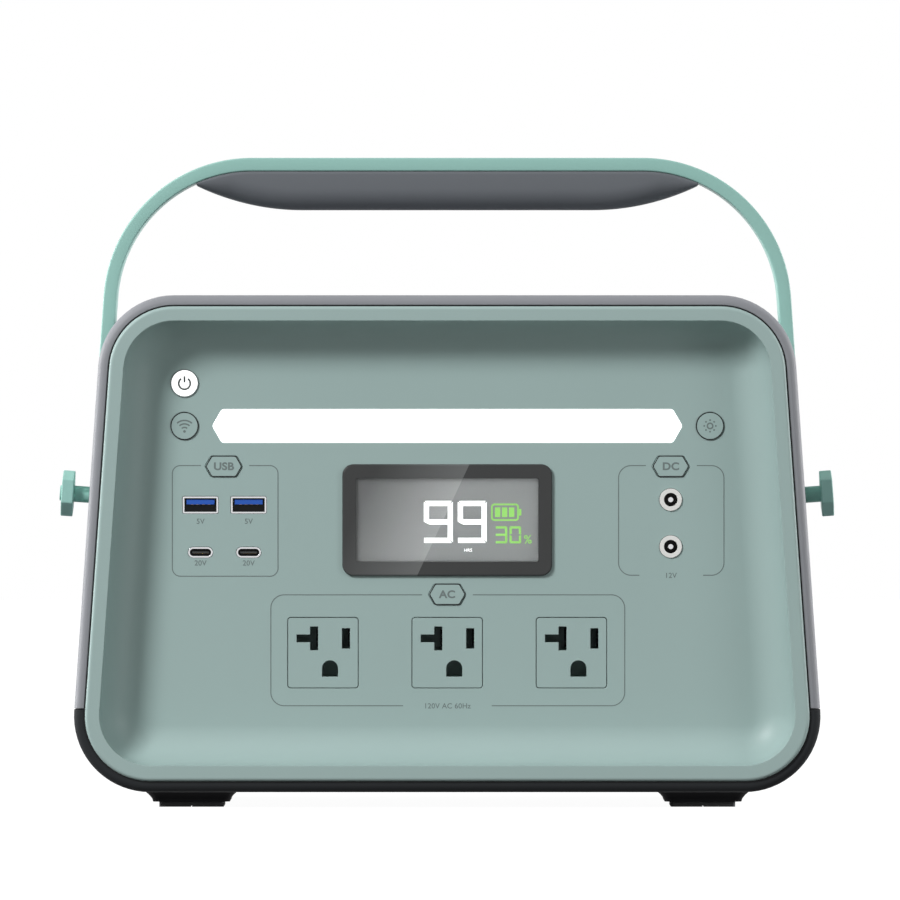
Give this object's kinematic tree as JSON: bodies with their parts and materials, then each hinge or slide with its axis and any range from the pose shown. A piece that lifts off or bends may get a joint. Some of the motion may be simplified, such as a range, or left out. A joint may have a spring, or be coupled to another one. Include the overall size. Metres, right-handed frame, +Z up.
{
  "type": "portable power station",
  "caption": "Portable power station with a dished outlet panel, light bar, display, push buttons, side fans, rear inlet flap and a swinging strap handle.",
  "frame": {"origin": "on the ground under the middle of the housing", "axes": "+Z up, -Y out of the front panel, +X to the right as seen from the front"},
  "size_m": [0.3132, 0.176, 0.2603],
  "materials": {
    "shell_grey": "fine grain",
    "tray_black": "fine grain",
    "fascia_green": "satin",
    "seal_black": "matt",
    "cover_grey": "fine grain",
    "screw_steel": "black zinc",
    "foot_rubber": "matt",
    "foot_black": "fine grain",
    "lamp_white": "frosted, lit",
    "board_green": "solder mask",
    "frame_black": "satin",
    "window_glass": "polished",
    "lcd_black": "satin",
    "switch_black": "matt",
    "bright_metal": "polished",
    "usb_blue": "satin",
    "usb_black": "satin",
    "jack_white": "satin",
    "jack_black": "satin",
    "contact_brass": "satin",
    "cell_blue": "wrapped",
    "busbar_copper": "satin",
    "insulator": "matt",
    "lead_red": "satin",
    "sink_metal": "extruded",
    "core_iron": "laminated",
    "capacitor_black": "sleeved",
    "fan_black": "satin",
    "handle_green": "satin powder coat",
    "grip_grey": "soft touch",
    "knob_green": "satin powder coat",
    "button_green": "satin",
    "button_white": "lit",
    "socket_green": "satin"
  },
  "bodies": {
    "housing": {"upper_shell": "shell_grey", "base_tray": "tray_black", "front_fascia": "fascia_green", "front_seal": "seal_black", "rear_cover": "cover_grey", "case_screws": "screw_steel", "inner_screws": "screw_steel", "foot_blocks": "foot_black", "foot_pads": "foot_rubber", "light_diffuser": "lamp_white", "light_board": "board_green", "display_frame": "frame_black", "display_window": "window_glass", "display_panel": "lcd_black", "control_board": "board_green", "button_switches": "switch_black", "usb_a_shells": "bright_metal", "usb_a_tongues": "usb_blue", "usb_c_shells": "bright_metal", "usb_c_tongues": "usb_black", "usb_board": "board_green", "dc_jack_rings": "jack_white", "dc_jack_bodies": "jack_black", "dc_jack_pins": "bright_metal", "dc_board": "board_green", "ac_contacts": "contact_brass", "battery_tray": "insulator", "battery_cells": "cell_blue", "busbars": "busbar_copper", "battery_cover": "insulator", "battery_board": "board_green", "battery_leads": "lead_red", "inverter_board": "board_green", "heat_sink": "sink_metal", "transformer": "core_iron", "capacitors": "capacitor_black", "fan_frame_right": "fan_black", "fan_frame_left": "fan_black", "pivot_inserts": "contact_brass", "friction_washers": "seal_black", "ac_inlet": "switch_black", "ac_inlet_pins": "bright_metal", "dc_inlet": "switch_black", "ac_socket_left": "socket_green", "ac_socket_middle": "socket_green", "ac_socket_right": "socket_green"},
    "handle": {"handle_strap": "handle_green", "handle_grip": "grip_grey", "grip_screws": "screw_steel"},
    "knob_left": {"knob_left": "knob_green"},
    "knob_right": {"knob_right": "knob_green"},
    "fan_left": {"fan_impeller_left": "fan_black"},
    "fan_right": {"fan_impeller_right": "fan_black"},
    "power_button": {"power_button": "button_white"},
    "wireless_button": {"wireless_button": "button_green"},
    "light_button": {"light_button": "button_green"},
    "usb_button": {"usb_button": "button_green"},
    "dc_button": {"dc_button": "button_green"},
    "ac_button": {"ac_button": "button_green"},
    "flap": {"inlet_flap": "cover_grey"}
  },
  "joints": [
    {"name": "handle_swing", "type": "hinge", "parent": "housing", "child": "handle", "pos_m": [0, 0, 0.1239], "axis": [-1, 0, 0], "range_deg": [-34, 90]},
    {"name": "knob_right_turn", "type": "hinge", "parent": "housing", "child": "knob_right", "pos_m": [0.14177, 0, 0.1239], "axis": [0.9976, 0, 0.0698], "range_deg": [-180, 180]},
    {"name": "knob_left_turn", "type": "hinge", "parent": "housing", "child": "knob_left", "pos_m": [-0.14177, 0, 0.1239], "axis": [-0.9976, 0, 0.0698], "range_deg": [-180, 180]},
    {"name": "fan_right_spin", "type": "hinge", "parent": "housing", "child": "fan_right", "pos_m": [0.113, 0.04, 0.1403], "axis": [1, 0, 0], "continuous": true},
    {"name": "fan_left_spin", "type": "hinge", "parent": "housing", "child": "fan_left", "pos_m": [-0.113, 0.04, 0.1403], "axis": [1, 0, 0], "continuous": true},
    {"name": "flap_open", "type": "hinge", "parent": "housing", "child": "flap", "pos_m": [0, 0.0844, 0.0747], "axis": [1, 0, 0], "range_deg": [0, 100]},
    {"name": "power_press", "type": "slide", "parent": "housing", "child": "power_button", "axis": [0, 1, 0], "range_m": [0, 0.001], "stiffness_N_per_m": 600},
    {"name": "wireless_press", "type": "slide", "parent": "housing", "child": "wireless_button", "axis": [0, 1, 0], "range_m": [0, 0.001], "stiffness_N_per_m": 600},
    {"name": "light_press", "type": "slide", "parent": "housing", "child": "light_button", "axis": [0, 1, 0], "range_m": [0, 0.001], "stiffness_N_per_m": 600},
    {"name": "usb_press", "type": "slide", "parent": "housing", "child": "usb_button", "axis": [0, 1, 0], "range_m": [0, 0.001], "stiffness_N_per_m": 600},
    {"name": "dc_press", "type": "slide", "parent": "housing", "child": "dc_button", "axis": [0, 1, 0], "range_m": [0, 0.001], "stiffness_N_per_m": 600},
    {"name": "ac_press", "type": "slide", "parent": "housing", "child": "ac_button", "axis": [0, 1, 0], "range_m": [0, 0.001], "stiffness_N_per_m": 600}
  ]
}
